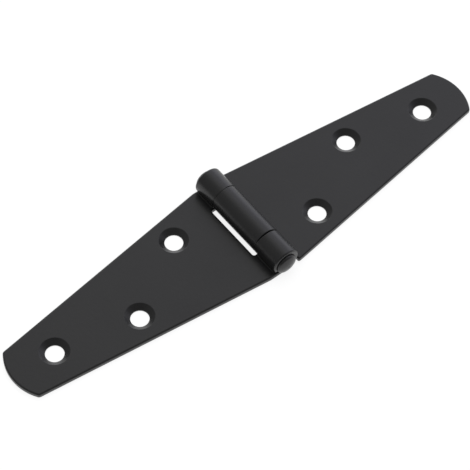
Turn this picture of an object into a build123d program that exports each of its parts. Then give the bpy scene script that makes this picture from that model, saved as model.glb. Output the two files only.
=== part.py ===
from build123d import *
import math
import os

# Driving sizes in millimetres. X runs along the hinge, Y along the pin, Z up from the backs of the leaves.
hinge_length = 150.0          # tip to tip, opened flat
hinge_width = 33.4            # across the leaves, and the length of the barrel
sheet_thickness = 1.5
straight_past_notch = 0.15    # parallel-sided stretch of a leaf, from a notch's round corner to the taper
tip_width = 15.9              # between the two corners of a tip
tip_crown = 2.6               # how far a rounded tip stands out past its corners
pin_diameter = 4.9
head_diameter = 6.0           # each end of the pin is hammered over into a low domed head
head_height = 1.35
head_side = 0.5               # height of a head at its rim, before the rounding
head_off_centre = 0.2         # how far the hammering pushed a head towards -X and down
centre_knuckle_length = 17.4
centre_knuckle_offset = 0.5   # from the middle of the pin to the middle of the centre knuckle, towards +Y
hole_diameter = 5.0
hole_land = 0.3               # straight wall left at the back of a hole, under its countersink
countersink_diameter = 8.0
inner_hole_reach = 17.8       # from the pin's axis
inner_hole_offset = 8.0       # to one side of the leaf's middle line
middle_hole_set_back = 1.1    # towards the pin, from midway between the inner and the tip hole
middle_hole_offset = 5.0      # to the other side of the leaf's middle line
tip_hole_inset = 13.0         # from the tip

# Roundings
edge_round = 0.5              # cut edges of the sheet on the side the punch came from
back_edge_round = 0.3         # cut edges on the other side, at the backs of the leaves
seam_round = 0.2              # the end of a knuckle where it faces another knuckle
free_end_round = 0.6          # the last edge of the sheet, at the end of a curl
tip_corner_round = 1.0
notch_corner_round = 0.55
countersink_round = 0.2
head_round = 0.75             # rim of a pin's head

# Clearances
running_clearance = 0.05      # between the pin and a bore, on the radius, and under the pin's heads
near_knuckle_gap = 0.35       # end play, at the -Y end of the centre knuckle
far_knuckle_gap = 0.1         # end play, at its +Y end
curl_gap = 0.3                # from a knuckle's free end to the face of its own leaf
notch_clearance = 0.27        # from a notch to the barrel that turns in it
same_place = 0.001            # nearer than this, two edges count as lying in one line

# Sizes that follow from those above
half_length = hinge_length / 2
half_width = hinge_width / 2
bore_radius = pin_diameter / 2 + running_clearance
barrel_radius = bore_radius + sheet_thickness
notch_reach = barrel_radius + notch_clearance
straight_reach = notch_reach + notch_corner_round + straight_past_notch
corner_reach = half_length - tip_crown
head_base = half_width + running_clearance
centre_low = centre_knuckle_offset - centre_knuckle_length / 2
centre_high = centre_knuckle_offset + centre_knuckle_length / 2
near_knuckle_end = centre_low - near_knuckle_gap
far_knuckle_start = centre_high + far_knuckle_gap
tip_hole_reach = half_length - tip_hole_inset
middle_hole_reach = (inner_hole_reach + tip_hole_reach) / 2 - middle_hole_set_back
screw_holes = [
    (inner_hole_reach, -inner_hole_offset),
    (middle_hole_reach, middle_hole_offset),
    (tip_hole_reach, 0),
]


def flat_leaf():
    """The tapered plate of a leaf, from the pin's axis out to its rounded tip along +X."""
    near_side = Polyline(
        (0, half_width),
        (0, -half_width),
        (straight_reach, -half_width),
        (corner_reach, -tip_width / 2),
    )
    tip = ThreePointArc(near_side @ 1, (half_length, 0), (corner_reach, tip_width / 2))
    far_side = Polyline(tip @ 1, (straight_reach, half_width), near_side @ 0)
    outline = make_face([near_side, tip, far_side])
    tip_corners = outline.vertices().sort_by(Axis.X)[-2:]
    return extrude(fillet(tip_corners, tip_corner_round), sheet_thickness)


def notch(low_y, high_y):
    """The gap cut in a leaf's root for a knuckle of the other leaf to turn in."""
    block = Box(2 * notch_reach, high_y - low_y, sheet_thickness)
    return Pos(0, (low_y + high_y) / 2, sheet_thickness / 2) * block


def is_upright(edge):
    """True for a corner of the flat sheet, which is a point when seen from above."""
    size = edge.bounding_box().size
    return size.X < same_place and size.Y < same_place


def is_under_pin(edge):
    """True for the line where the flat sheet runs smoothly into a curl."""
    box = edge.bounding_box()
    return box.size.X < same_place and abs(box.center().X) < same_place


def is_cut_edge(edge):
    """True for an edge between a face of the sheet and a cut through it."""
    return not is_upright(edge) and not is_under_pin(edge)


def rounded_end(curl, end_y, radius):
    """The curl with the edges of one end rounded, all but the line where the flat sheet joins it."""
    rim = curl.edges().filter_by_position(Axis.Y, end_y - same_place, end_y + same_place)
    return fillet(rim.filter_by(is_cut_edge), radius)


def knuckle(low_y, high_y, low_round, high_round):
    """A stretch of the sheet that runs under the pin and curls back over it to its own leaf."""
    centre = (0, barrel_radius)
    free_end = math.degrees(math.asin((sheet_thickness + curl_gap - barrel_radius) / barrel_radius))
    turn = 270 - free_end
    outside = CenterArc(centre, barrel_radius, free_end, turn)
    inside = CenterArc(centre, bore_radius, free_end, turn)
    section = make_face([outside, inside, Line(outside @ 0, inside @ 0), Line(outside @ 1, inside @ 1)])
    section = fillet(section.vertices().sort_by(Axis.X)[-2:], free_end_round)
    curl = Pos(0, high_y, 0) * extrude(Plane.XZ * section, high_y - low_y)
    curl = rounded_end(curl, low_y, low_round)
    return rounded_end(curl, high_y, high_round)


def rounded_leaf(leaf):
    """The flat leaf with the corners of its notches and all its cut edges rounded."""
    corners = leaf.edges().filter_by(is_upright)
    at_notch = corners.filter_by_position(Axis.X, notch_reach - same_place, notch_reach + same_place)
    leaf = fillet(at_notch, notch_corner_round)
    for height, radius in ((sheet_thickness, edge_round), (0, back_edge_round)):
        level = leaf.edges().filter_by_position(Axis.Z, height - same_place, height + same_place)
        leaf = fillet(level.filter_by(is_cut_edge), radius)
    return leaf


def screw_hole(reach, offset):
    """A hole through a leaf, countersunk from its top face."""
    upward = (Align.CENTER, Align.CENTER, Align.MIN)
    shank = Cylinder(hole_diameter / 2, sheet_thickness, align=upward)
    head = Cone(hole_diameter / 2, countersink_diameter / 2, sheet_thickness - hole_land, align=upward)
    return Pos(reach, offset, 0) * (shank + Pos(0, 0, hole_land) * head)


def is_countersink_rim(edge):
    """True for the circle where a countersink meets the top face."""
    return edge.geom_type == GeomType.CIRCLE and abs(edge.radius - countersink_diameter / 2) < same_place


def drilled(leaf):
    """The leaf with its three screw holes."""
    for reach, offset in screw_holes:
        leaf = leaf - screw_hole(reach, offset)
    return fillet(leaf.edges().filter_by(is_countersink_rim), countersink_round)


def leaf_centre_knuckle():
    """The leaf towards +X, with the one long knuckle between two notches."""
    leaf = flat_leaf()
    leaf = leaf - notch(-half_width, centre_low)
    leaf = leaf - notch(centre_high, half_width)
    leaf = rounded_leaf(leaf) + knuckle(centre_low, centre_high, seam_round, seam_round)
    return drilled(leaf)


def leaf_two_knuckles():
    """The leaf towards -X, made towards +X and then turned about, with a short knuckle at each end."""
    leaf = rounded_leaf(flat_leaf() - notch(-far_knuckle_start, -near_knuckle_end))
    leaf = leaf + knuckle(-half_width, -far_knuckle_start, edge_round, seam_round)
    leaf = leaf + knuckle(-near_knuckle_end, half_width, seam_round, edge_round)
    return Rot(0, 0, 180) * drilled(leaf)


def pin_head():
    """A domed head on the barrel's +Y end."""
    radius = head_diameter / 2
    crown = TangentArc((0, head_height), (radius, head_side), tangent=(1, 0))
    under = Polyline(crown @ 1, (radius, 0), (0, 0), crown @ 0)
    half_section = make_face([crown, under])
    rim = half_section.vertices().group_by(Axis.X)[-1].sort_by(Axis.Y)[-1]
    half_section = fillet(rim, head_round)
    return Pos(-head_off_centre, head_base, -head_off_centre) * revolve(half_section, Axis.Y)


def hinge_pin():
    """The pin through the whole barrel, with a head at each end."""
    shank = Rot(90, 0, 0) * Cylinder(pin_diameter / 2, 2 * head_base)
    pin = shank + pin_head() + mirror(pin_head(), Plane.XZ)
    return Pos(0, 0, barrel_radius) * pin


os.makedirs("parts", exist_ok=True)
export_step(leaf_two_knuckles(), "parts/leaf_two_knuckles.step")
export_step(leaf_centre_knuckle(), "parts/leaf_centre_knuckle.step")
export_step(hinge_pin(), "parts/hinge_pin.step")
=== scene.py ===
import math
import random

import bpy
from mathutils import Matrix, Vector


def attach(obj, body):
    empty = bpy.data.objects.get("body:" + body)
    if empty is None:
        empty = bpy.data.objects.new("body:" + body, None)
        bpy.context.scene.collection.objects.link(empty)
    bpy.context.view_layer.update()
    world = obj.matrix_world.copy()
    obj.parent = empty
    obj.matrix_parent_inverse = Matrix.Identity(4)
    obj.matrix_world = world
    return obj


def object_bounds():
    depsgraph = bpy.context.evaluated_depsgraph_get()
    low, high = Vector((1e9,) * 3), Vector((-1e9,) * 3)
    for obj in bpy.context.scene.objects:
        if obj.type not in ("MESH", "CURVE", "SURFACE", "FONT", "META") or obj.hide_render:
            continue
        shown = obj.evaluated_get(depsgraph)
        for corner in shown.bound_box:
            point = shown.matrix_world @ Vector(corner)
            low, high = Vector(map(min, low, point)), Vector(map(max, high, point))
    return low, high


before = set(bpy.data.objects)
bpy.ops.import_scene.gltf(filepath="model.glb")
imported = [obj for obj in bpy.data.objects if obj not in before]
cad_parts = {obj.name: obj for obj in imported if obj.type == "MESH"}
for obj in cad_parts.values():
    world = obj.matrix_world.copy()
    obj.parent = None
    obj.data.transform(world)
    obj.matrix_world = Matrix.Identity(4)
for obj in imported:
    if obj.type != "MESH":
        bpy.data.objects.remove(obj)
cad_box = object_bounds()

# The photograph's view, in degrees and metres.
VIEW_AZIMUTH = -39.92
VIEW_ELEVATION = 56.51
VIEW_ROLL = 1.595
VIEW_DISTANCE = 0.5371
VIEW_TARGET = Vector((-0.0031, 0.000674, -0.000974))
LENS = 155.94
SENSOR = 36.0

# Light, with 1 as white. A side is a direction, and its spread says how near to it a ray has to point,
# as the cosine of the angle between them.
FLOOR_SIZE = 8.0
FLOOR_GAP = 0.0001
FLOOR_TONE = 0.22
FLOOR_GLOW = 0.85
BRIGHT_SIDE = Vector((0.775, 0.45, 0.445))
BRIGHT_SPREAD = (0.42, 0.845)
ROOM_DIM = 0.29
ROOM_BRIGHT = 0.75
DARK_SIDE = Vector((-0.30, -0.80, 0.52))
DARK_SPREAD = (0.30, 0.95)
ROOM_DARK = 0.55
BACK_SIDE = Vector((0.25, 0.90, 0.35))
BACK_SPREAD = (0.84, 0.98)
ROOM_BACK = 1.8
COOL_SIDE = Vector((1.0, 0.0, 0.0))
COOL_SPREAD = (0.335, 0.46)
ROOM_COOL = (1.15, 1.15, 1.26)
KEY_TOWARDS = Vector((0.865, 0.42, 0.27))
KEY_DISTANCE = 1.2
KEY_SIZE = 0.5
KEY_RADIANCE = 0.46
KEY_COLOUR = (0.95, 0.95, 1.08)
FILL_HEIGHT = 1.0
FILL_SIZE = 1.4
FILL_RADIANCE = 1.0

# The finish. Lengths in metres. A pattern is a noise's detail and the strength of its finer layers.
COAT_BLACK = (0.0150, 0.0150, 0.0152)
COAT_ROUGHNESS = 0.31
COAT_BUMP = 1.1
PIN_BLACK = (0.0150, 0.0150, 0.0154)
PIN_ROUGHNESS = 0.33
PIN_BUMP = 0.7
RIPPLE_SIZE = 0.0009
RIPPLE_PATTERN = (1.0, 0.4)
GRAIN_SIZE = 0.00022
GRAIN_PATTERN = (2.0, 0.6)
GRAIN_SHARE = 0.3
DRIFT_SIZE = 0.022
DRIFT_PATTERN = (3.0, 0.55)
NOISE_RANGE = (0.3, 0.7)
TONE_DRIFT = 0.10
GLOSS_DRIFT = 0.03
COAT_RELIEF = 0.00002

# Coat that ran together in the joints of the sheet. Lengths in metres, angles in degrees. A filling's angles
# go round the pin from +X.
SMOOTH_ANGLE = 50
SAME_PLACE = 1e-6
PIN_HEIGHT = 0.004
BEAD_RADIUS = 0.00022
BEAD_PLACE = (-0.00352, 0.00160)
BEAD_SIDES = 12
BEAD_STEPS = 12
BEAD_SWELL = (0.85, 1.15)
BEAD_END = 0.4
NEAR_BEAD = (-0.0162, -0.0088)
FAR_BEAD = (0.0096, 0.0162)
SEAM_RADIUS = 0.003994
SEAM_DEPTH = 0.0005
SEAM_STEP = 5
SEAM_TAPER = 0.95
SEAM_EDGE = 0.00005
SEAM_EDGE_STEPS = 3
FAR_SEAM = {"root": 0.00945, "lip": 0.009215, "first": 70, "full": 90, "last": 210}
NEAR_SEAM = {"root": -0.00870, "lip": -0.00832, "first": 90, "full": 150, "last": 210}


def deselect_all():
    bpy.ops.object.select_all(action="DESELECT")


def link(tree, output, socket):
    tree.links.new(output, socket)


def powder_coat_group():
    """Powder coat: the slow ripple of melted powder, its fine grain, and drifts in thickness."""
    group = bpy.data.node_groups.new("powder_coat", "ShaderNodeTree")
    sockets = group.interface
    for name, value in (("Ripple Size", RIPPLE_SIZE), ("Grain Size", GRAIN_SIZE), ("Drift Size", DRIFT_SIZE)):
        sockets.new_socket(name, in_out="INPUT", socket_type="NodeSocketFloat").default_value = value
    for name in ("Height", "Drift"):
        sockets.new_socket(name, in_out="OUTPUT", socket_type="NodeSocketFloat")
    nodes = group.nodes
    start = nodes.new("NodeGroupInput")
    end = nodes.new("NodeGroupOutput")
    place = nodes.new("ShaderNodeTexCoord")

    def noise(size_name, pattern):
        detail, roughness = pattern
        scale = nodes.new("ShaderNodeMath")
        scale.operation = "DIVIDE"
        scale.inputs[0].default_value = 1.0
        link(group, start.outputs[size_name], scale.inputs[1])
        texture = nodes.new("ShaderNodeTexNoise")
        texture.inputs["Detail"].default_value = detail
        texture.inputs["Roughness"].default_value = roughness
        link(group, place.outputs["Object"], texture.inputs["Vector"])
        link(group, scale.outputs[0], texture.inputs["Scale"])
        return texture.outputs["Fac"]

    ripple = noise("Ripple Size", RIPPLE_PATTERN)
    grain = noise("Grain Size", GRAIN_PATTERN)
    drift = noise("Drift Size", DRIFT_PATTERN)
    height = nodes.new("ShaderNodeMix")
    height.inputs["Factor"].default_value = GRAIN_SHARE
    link(group, ripple, height.inputs["A"])
    link(group, grain, height.inputs["B"])
    link(group, height.outputs["Result"], end.inputs["Height"])
    link(group, drift, end.inputs["Drift"])
    return group


def ranged(tree, value, low, high):
    """A noise's value, stretched from its usual range to run from low to high."""
    spread = tree.nodes.new("ShaderNodeMapRange")
    spread.inputs["From Min"].default_value, spread.inputs["From Max"].default_value = NOISE_RANGE
    spread.inputs["To Min"].default_value = low
    spread.inputs["To Max"].default_value = high
    link(tree, value, spread.inputs["Value"])
    return spread.outputs["Result"]


def coat_material(name, group, black, roughness, bump_strength):
    """A satin black coat whose tone and gloss drift a little over the surface."""
    material = bpy.data.materials.new(name)
    material.use_nodes = True
    tree = material.node_tree
    shader = tree.nodes["Principled BSDF"]
    coat = tree.nodes.new("ShaderNodeGroup")
    coat.node_tree = group
    tint = tree.nodes.new("ShaderNodeMix")
    tint.data_type = "RGBA"
    tint.inputs["A"].default_value = [(1 - TONE_DRIFT) * part for part in black] + [1.0]
    tint.inputs["B"].default_value = [(1 + TONE_DRIFT) * part for part in black] + [1.0]
    link(tree, ranged(tree, coat.outputs["Drift"], 0.0, 1.0), tint.inputs["Factor"])
    link(tree, tint.outputs["Result"], shader.inputs["Base Color"])
    gloss = ranged(tree, coat.outputs["Drift"], roughness + GLOSS_DRIFT, roughness - GLOSS_DRIFT)
    link(tree, gloss, shader.inputs["Roughness"])
    bump = tree.nodes.new("ShaderNodeBump")
    bump.inputs["Strength"].default_value = bump_strength
    bump.inputs["Distance"].default_value = COAT_RELIEF
    link(tree, coat.outputs["Height"], bump.inputs["Height"])
    link(tree, bump.outputs["Normal"], shader.inputs["Normal"])
    return material


def dress_nodes():
    """Every solid of the hinge gets its coat."""
    group = powder_coat_group()
    leaf_coat = coat_material("satin_black_leaf", group, COAT_BLACK, COAT_ROUGHNESS, COAT_BUMP)
    pin_coat = coat_material("black_pin", group, PIN_BLACK, PIN_ROUGHNESS, PIN_BUMP)
    finishes = {"leaf_two_knuckles": leaf_coat, "leaf_centre_knuckle": leaf_coat, "hinge_pin": pin_coat}
    for node, finish in finishes.items():
        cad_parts[node].data.materials[0] = finish


def settled(name):
    """The new object under its own name, with its place moved into its mesh."""
    bpy.ops.object.transform_apply(location=True, rotation=True, scale=True)
    piece = bpy.context.active_object
    piece.name = name
    return piece


def pick(piece, test):
    """Edit mode, with those points selected whose place passes the test."""
    bpy.ops.object.mode_set(mode="EDIT")
    bpy.ops.mesh.select_all(action="DESELECT")
    bpy.ops.object.mode_set(mode="OBJECT")
    for point in piece.data.vertices:
        point.select = test(point.co)
    bpy.ops.object.mode_set(mode="EDIT")


def finish_piece(piece):
    """The piece in the leaf's coat, moving with the leaf that carries it."""
    bpy.ops.mesh.select_all(action="SELECT")
    bpy.ops.mesh.normals_make_consistent(inside=False)
    bpy.ops.object.mode_set(mode="OBJECT")
    bpy.ops.object.shade_smooth_by_angle(angle=math.radians(SMOOTH_ANGLE))
    piece.data.materials.append(bpy.data.materials["satin_black_leaf"])
    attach(piece, "fixed_leaf")


def lay_bead(name, ends):
    """A bead of coat along the foot of a short knuckle, where its free end comes down on the leaf."""
    deselect_all()
    low, high = ends
    middle = (BEAD_PLACE[0], (low + high) / 2, BEAD_PLACE[1])
    bpy.ops.mesh.primitive_cylinder_add(
        vertices=BEAD_SIDES, radius=BEAD_RADIUS, depth=high - low,
        location=middle, rotation=(math.pi / 2, 0, 0))
    bead = settled(name)
    drift = random.Random(name)
    bpy.ops.object.mode_set(mode="EDIT")
    for step in range(1, BEAD_STEPS):
        cut = (0.0, low + (high - low) * step / BEAD_STEPS, 0.0)
        bpy.ops.mesh.select_all(action="SELECT")
        bpy.ops.mesh.bisect(plane_co=cut, plane_no=(0.0, 1.0, 0.0))
        swell = drift.uniform(*BEAD_SWELL)
        bpy.ops.transform.resize(value=(swell, 1.0, swell), center_override=(middle[0], cut[1], middle[2]))
    for end in ends:
        pick(bead, lambda place: abs(place.y - end) < SAME_PLACE)
        bpy.ops.transform.resize(value=(BEAD_END, 1.0, BEAD_END), center_override=(middle[0], end, middle[2]))
    finish_piece(bead)


def round_pin(place):
    """A point's angle round the pin, in degrees from +X, and its distance from the pin's axis."""
    angle = math.degrees(math.atan2(place.z - PIN_HEIGHT, place.x)) % 360
    return angle, math.hypot(place.z - PIN_HEIGHT, place.x)


def fill_seam(name, root, lip, first, full, last):
    """Coat that closed part of a seam, from a root on its own knuckle to a lip close to the next one.

    It runs round the pin from the first angle to the last, and thins out between the full and the first.
    """
    deselect_all()
    turn = math.radians(first)
    reach = SEAM_RADIUS - SEAM_DEPTH / 2
    middle = (reach * math.cos(turn), (root + lip) / 2, PIN_HEIGHT + reach * math.sin(turn))
    bpy.ops.mesh.primitive_plane_add(size=1.0, location=middle, rotation=(0.0, -turn, 0.0))
    bpy.context.active_object.scale = (SEAM_DEPTH, abs(lip - root), 1.0)
    fill = settled(name)
    bpy.ops.object.mode_set(mode="EDIT")
    bpy.ops.mesh.select_all(action="SELECT")
    bpy.ops.mesh.spin(steps=(last - first) // SEAM_STEP, angle=math.radians(last - first),
                      center=(0.0, 0.0, PIN_HEIGHT), axis=(0.0, 1.0, 0.0))
    for angle in range(first, full, SEAM_STEP):
        pick(fill, lambda place: abs(place.y - lip) < SAME_PLACE and abs(round_pin(place)[0] - angle) < 1)
        back = (root - lip) * SEAM_TAPER * (full - angle) / (full - first)
        bpy.ops.transform.translate(value=(0.0, back, 0.0))
    outside = SEAM_RADIUS - SAME_PLACE
    pick(fill, lambda place: abs(place.y - root) > SAME_PLACE and round_pin(place)[1] > outside)
    bpy.ops.mesh.bevel(offset=SEAM_EDGE, segments=SEAM_EDGE_STEPS, affect="EDGES", clamp_overlap=True)
    finish_piece(fill)


def coat_joints():
    """The beads and fillings of coat on the leaf with two knuckles."""
    lay_bead("foot_bead_near", NEAR_BEAD)
    lay_bead("foot_bead_far", FAR_BEAD)
    fill_seam("seam_coat_far", **FAR_SEAM)
    fill_seam("seam_coat_near", **NEAR_SEAM)


def any_ray(tree, first, *others):
    """1 for rays of the named kinds, and 0 for all other rays."""
    path = tree.nodes.new("ShaderNodeLightPath")
    total = path.outputs[first]
    for ray in others:
        either = tree.nodes.new("ShaderNodeMath")
        either.operation = "MAXIMUM"
        link(tree, total, either.inputs[0])
        link(tree, path.outputs[ray], either.inputs[1])
        total = either.outputs[0]
    return total


def lay_floor():
    """A plain pale floor just under the hinge, white where it is seen, also in a reflection."""
    deselect_all()
    bpy.ops.mesh.primitive_plane_add(size=FLOOR_SIZE, location=(0.0, 0.0, cad_box[0][2] - FLOOR_GAP))
    floor = bpy.context.active_object
    floor.name = "floor"
    material = bpy.data.materials.new("white_floor")
    material.use_nodes = True
    tree = material.node_tree
    shader = tree.nodes["Principled BSDF"]
    shader.inputs["Base Color"].default_value = (FLOOR_TONE, FLOOR_TONE, FLOOR_TONE, 1.0)
    shader.inputs["Roughness"].default_value = 1.0
    shader.inputs["Specular IOR Level"].default_value = 0.0
    shader.inputs["Emission Color"].default_value = (1.0, 1.0, 1.0, 1.0)
    glow = tree.nodes.new("ShaderNodeMath")
    glow.operation = "MULTIPLY"
    glow.inputs[1].default_value = FLOOR_GLOW
    seen = any_ray(tree, "Is Camera Ray", "Is Glossy Ray", "Is Transmission Ray")
    link(tree, seen, glow.inputs[0])
    link(tree, glow.outputs[0], shader.inputs["Emission Strength"])
    floor.data.materials.append(material)


def mixed(tree, factor, first, second):
    """first where the factor is 0, second where it is 1. Each is a colour or another node's output."""
    mix = tree.nodes.new("ShaderNodeMix")
    mix.data_type = "RGBA"
    link(tree, factor, mix.inputs["Factor"])
    for socket, colour in ((mix.inputs["A"], first), (mix.inputs["B"], second)):
        if isinstance(colour, bpy.types.NodeSocket):
            link(tree, colour, socket)
        else:
            socket.default_value = (*colour, 1.0)
    return mix.outputs["Result"]


def facing(tree, direction, spread, low, high):
    """A value that goes smoothly from low to high as a ray turns towards a direction."""
    place = tree.nodes.new("ShaderNodeTexCoord")
    towards = tree.nodes.new("ShaderNodeVectorMath")
    towards.operation = "DOT_PRODUCT"
    towards.inputs[1].default_value = direction.normalized()
    link(tree, place.outputs["Generated"], towards.inputs[0])
    value = tree.nodes.new("ShaderNodeMapRange")
    value.interpolation_type = "SMOOTHSTEP"
    value.inputs["From Min"].default_value, value.inputs["From Max"].default_value = spread
    value.inputs["To Min"].default_value = low
    value.inputs["To Max"].default_value = high
    link(tree, towards.outputs["Value"], value.inputs["Value"])
    return value.outputs["Result"]


def product(tree, first, second):
    """Two values or colours multiplied."""
    times = tree.nodes.new("ShaderNodeVectorMath")
    times.operation = "MULTIPLY"
    link(tree, first, times.inputs[0])
    link(tree, second, times.inputs[1])
    return times.outputs["Vector"]


def light_room():
    """White where the camera sees it. For the hinge, a soft room, bright at the back right, dark in front."""
    world = bpy.data.worlds.new("studio")
    bpy.context.scene.world = world
    world.use_nodes = True
    tree = world.node_tree
    bright = facing(tree, BRIGHT_SIDE, BRIGHT_SPREAD, ROOM_DIM, ROOM_BRIGHT)
    dark = facing(tree, DARK_SIDE, DARK_SPREAD, 1.0, ROOM_DARK)
    back = facing(tree, BACK_SIDE, BACK_SPREAD, 1.0, ROOM_BACK)
    cool = mixed(tree, facing(tree, COOL_SIDE, COOL_SPREAD, 0.0, 1.0), (1.0, 1.0, 1.0), ROOM_COOL)
    room = product(tree, product(tree, bright, dark), product(tree, back, cool))
    seen = any_ray(tree, "Is Camera Ray", "Is Transmission Ray")
    colour = mixed(tree, seen, room, (1.0, 1.0, 1.0))
    link(tree, colour, tree.nodes["Background"].inputs["Color"])


def hang_lamp(name, place, size, radiance):
    """A square soft box that faces the hinge."""
    deselect_all()
    bpy.ops.object.light_add(type="AREA", location=place)
    lamp = bpy.context.active_object
    lamp.name = name
    lamp.rotation_euler = place.to_track_quat("Z", "Y").to_euler()
    lamp.data.size = size
    lamp.data.energy = radiance * math.pi * size ** 2
    return lamp


def hang_lamps():
    """A key lamp at the back right that shows in the coat, and a fill overhead that only lights it."""
    key = hang_lamp("key_lamp", KEY_TOWARDS.normalized() * KEY_DISTANCE, KEY_SIZE, KEY_RADIANCE)
    key.data.color = KEY_COLOUR
    fill = hang_lamp("fill_lamp", Vector((0.0, 0.0, FILL_HEIGHT)), FILL_SIZE, FILL_RADIANCE)
    fill.visible_glossy = False


def place_camera():
    """The camera, at the photograph's viewing angle."""
    azimuth = math.radians(VIEW_AZIMUTH)
    elevation = math.radians(VIEW_ELEVATION)
    back = Vector((
        math.sin(azimuth) * math.cos(elevation),
        -math.cos(azimuth) * math.cos(elevation),
        math.sin(elevation),
    ))
    right = Vector((math.cos(azimuth), math.sin(azimuth), 0.0))
    up = back.cross(right)
    turn = Matrix((right, up, back)).transposed().to_4x4()
    roll = Matrix.Rotation(math.radians(VIEW_ROLL), 4, "Z")
    data = bpy.data.cameras.new("camera")
    data.sensor_width = SENSOR
    data.lens = LENS
    camera = bpy.data.objects.new("camera", data)
    camera.matrix_world = Matrix.Translation(VIEW_TARGET + back * VIEW_DISTANCE) @ turn @ roll
    bpy.context.scene.collection.objects.link(camera)
    bpy.context.scene.camera = camera


bpy.context.scene.view_settings.view_transform = "Standard"
dress_nodes()
coat_joints()
lay_floor()
light_room()
hang_lamps()
place_camera()
